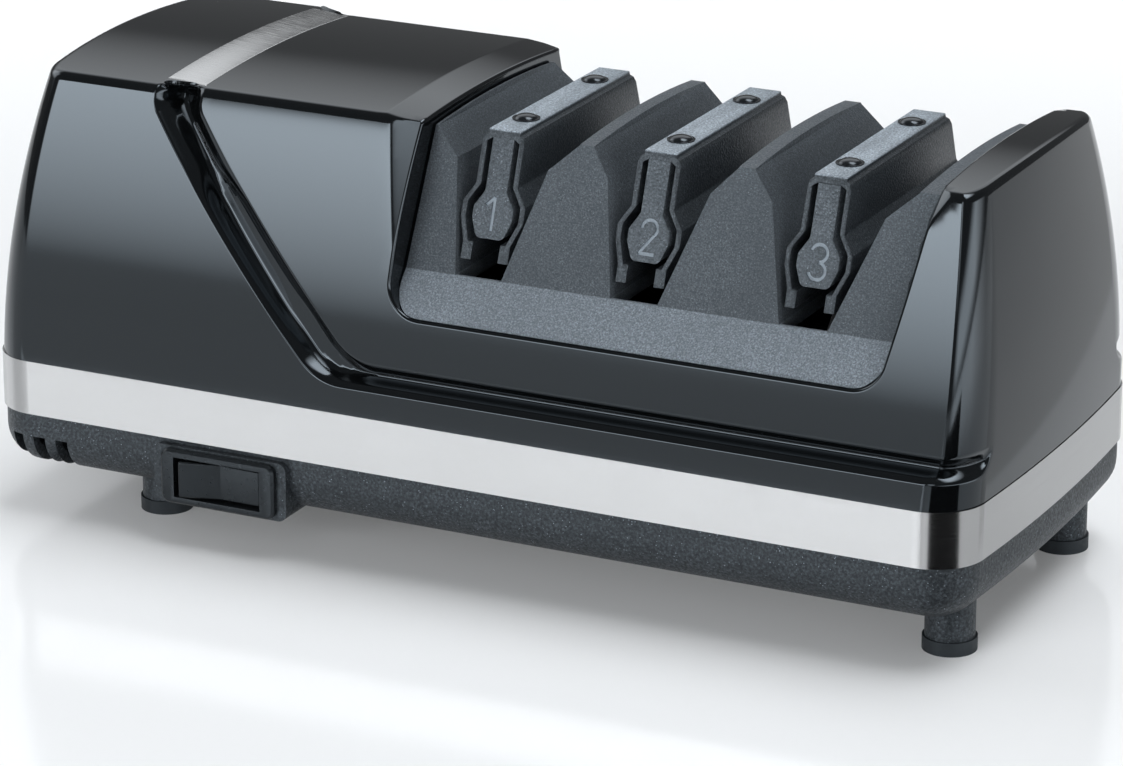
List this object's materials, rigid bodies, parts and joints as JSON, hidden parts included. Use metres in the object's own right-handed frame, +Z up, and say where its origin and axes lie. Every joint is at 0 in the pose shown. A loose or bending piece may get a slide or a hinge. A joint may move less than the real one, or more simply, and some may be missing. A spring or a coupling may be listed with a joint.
{
  "type": "electric knife sharpener",
  "caption": "Bench-top electric knife sharpener: gloss housing with motor block, angled guide slots over spring-loaded abrasive disks on one shaft, metal trim band and rocker switch.",
  "frame": {"origin": "bottom centre of the object, on the surface that the rubber feet stand on", "axes": "+X along the length, from the motor end towards the last stage; -Y the switch side; +Z up"},
  "size_m": [0.25, 0.1136, 0.1068],
  "materials": {
    "gloss_black": "high gloss black moulding",
    "silver_inlay": "satin silver",
    "bright_band": "bright rolled stainless",
    "speckled_base": "dark grey with fine pale speckle",
    "screw_steel": "zinc plated",
    "magnet_grey": "matte ferrite",
    "insert_black": "fine matte texture",
    "post_black": "satin",
    "spring_black": "semi gloss springy moulding",
    "button_black": "gloss",
    "shaft_steel": "ground",
    "core_steel": "laminated, varnished",
    "bobbin_nylon": "natural nylon",
    "copper_winding": "enamelled copper wire",
    "cast_aluminium": "die cast",
    "fan_nylon": "glass filled",
    "sintered_bronze": "oiled",
    "switch_black": "satin",
    "rocker_black": "gloss",
    "tinned_brass": "tinned",
    "soft_rubber": "matte",
    "foot_rubber": "matte",
    "abrasive_steel": "fine diamond grit on steel",
    "polishing_resin": "abrasive-filled resin"
  },
  "bodies": {
    "housing": {"cover": "gloss_black", "roof_strip": "silver_inlay", "trim_band": "bright_band", "base_shell": "speckled_base", "base_screws": "screw_steel", "cleanout_cover": "speckled_base", "filings_magnet": "magnet_grey", "guide_insert": "insert_black", "stator_core": "core_steel", "coil_bobbin": "bobbin_nylon", "stator_coil": "copper_winding", "motor_bracket_left": "cast_aluminium", "motor_bracket_right": "cast_aluminium", "motor_bush_left": "sintered_bronze", "motor_bush_right": "sintered_bronze", "motor_screws": "screw_steel", "end_bearing_bracket": "cast_aluminium", "end_bush": "sintered_bronze", "end_bracket_screws": "screw_steel", "switch_housing": "switch_black", "rocker_pin": "shaft_steel", "switch_terminals": "tinned_brass", "cord_grommet": "soft_rubber", "foot_front_left": "foot_rubber", "foot_front_right": "foot_rubber", "foot_rear_left": "foot_rubber", "foot_rear_right": "foot_rubber", "stage_post_1": "post_black", "knife_spring_1": "spring_black", "spring_screws_1": "button_black", "stage_post_2": "post_black", "knife_spring_2": "spring_black", "spring_screws_2": "button_black", "stage_post_3": "post_black", "knife_spring_3": "spring_black", "spring_screws_3": "button_black"},
    "drive_line": {"drive_shaft": "shaft_steel", "drive_pins": "shaft_steel", "rotor_core": "core_steel", "rotor_end_rings": "cast_aluminium", "cooling_fan": "fan_nylon", "retaining_rings": "shaft_steel", "disk_spring_1": "shaft_steel", "disk_spring_2": "shaft_steel", "disk_spring_3": "shaft_steel"},
    "disk_1_left": {"sharpening_disk_1_left": "abrasive_steel"},
    "disk_1_right": {"sharpening_disk_1_right": "abrasive_steel"},
    "disk_2_left": {"sharpening_disk_2_left": "abrasive_steel"},
    "disk_2_right": {"sharpening_disk_2_right": "abrasive_steel"},
    "disk_3_left": {"polishing_disk_3_left": "polishing_resin"},
    "disk_3_right": {"polishing_disk_3_right": "polishing_resin"},
    "rocker": {"switch_rocker": "rocker_black"}
  },
  "joints": [
    {"name": "shaft_spin", "type": "hinge", "parent": "housing", "child": "drive_line", "pos_m": [0, 0, 0.045], "axis": [1, 0, 0], "continuous": true},
    {"name": "disk_1_left_slide", "type": "slide", "parent": "drive_line", "child": "disk_1_left", "axis": [1, 0, 0], "range_m": [0, 0.001], "stiffness_N_per_m": 900, "springref_m": -0.002, "deforming": ["disk_spring_1"]},
    {"name": "disk_1_right_slide", "type": "slide", "parent": "drive_line", "child": "disk_1_right", "axis": [-1, 0, 0], "range_m": [0, 0.001], "stiffness_N_per_m": 900, "springref_m": -0.002, "deforming": ["disk_spring_1"]},
    {"name": "disk_2_left_slide", "type": "slide", "parent": "drive_line", "child": "disk_2_left", "axis": [1, 0, 0], "range_m": [0, 0.001], "stiffness_N_per_m": 900, "springref_m": -0.002, "deforming": ["disk_spring_2"]},
    {"name": "disk_2_right_slide", "type": "slide", "parent": "drive_line", "child": "disk_2_right", "axis": [-1, 0, 0], "range_m": [0, 0.001], "stiffness_N_per_m": 900, "springref_m": -0.002, "deforming": ["disk_spring_2"]},
    {"name": "disk_3_left_slide", "type": "slide", "parent": "drive_line", "child": "disk_3_left", "axis": [1, 0, 0], "range_m": [0, 0.001], "stiffness_N_per_m": 900, "springref_m": -0.002, "deforming": ["disk_spring_3"]},
    {"name": "disk_3_right_slide", "type": "slide", "parent": "drive_line", "child": "disk_3_right", "axis": [-1, 0, 0], "range_m": [0, 0.001], "stiffness_N_per_m": 900, "springref_m": -0.002, "deforming": ["disk_spring_3"]},
    {"name": "rocker_tilt", "type": "hinge", "parent": "housing", "child": "rocker", "pos_m": [-0.0596, -0.0504, 0.01675], "axis": [0, 0, 1], "range_deg": [-14, 0]}
  ]
}
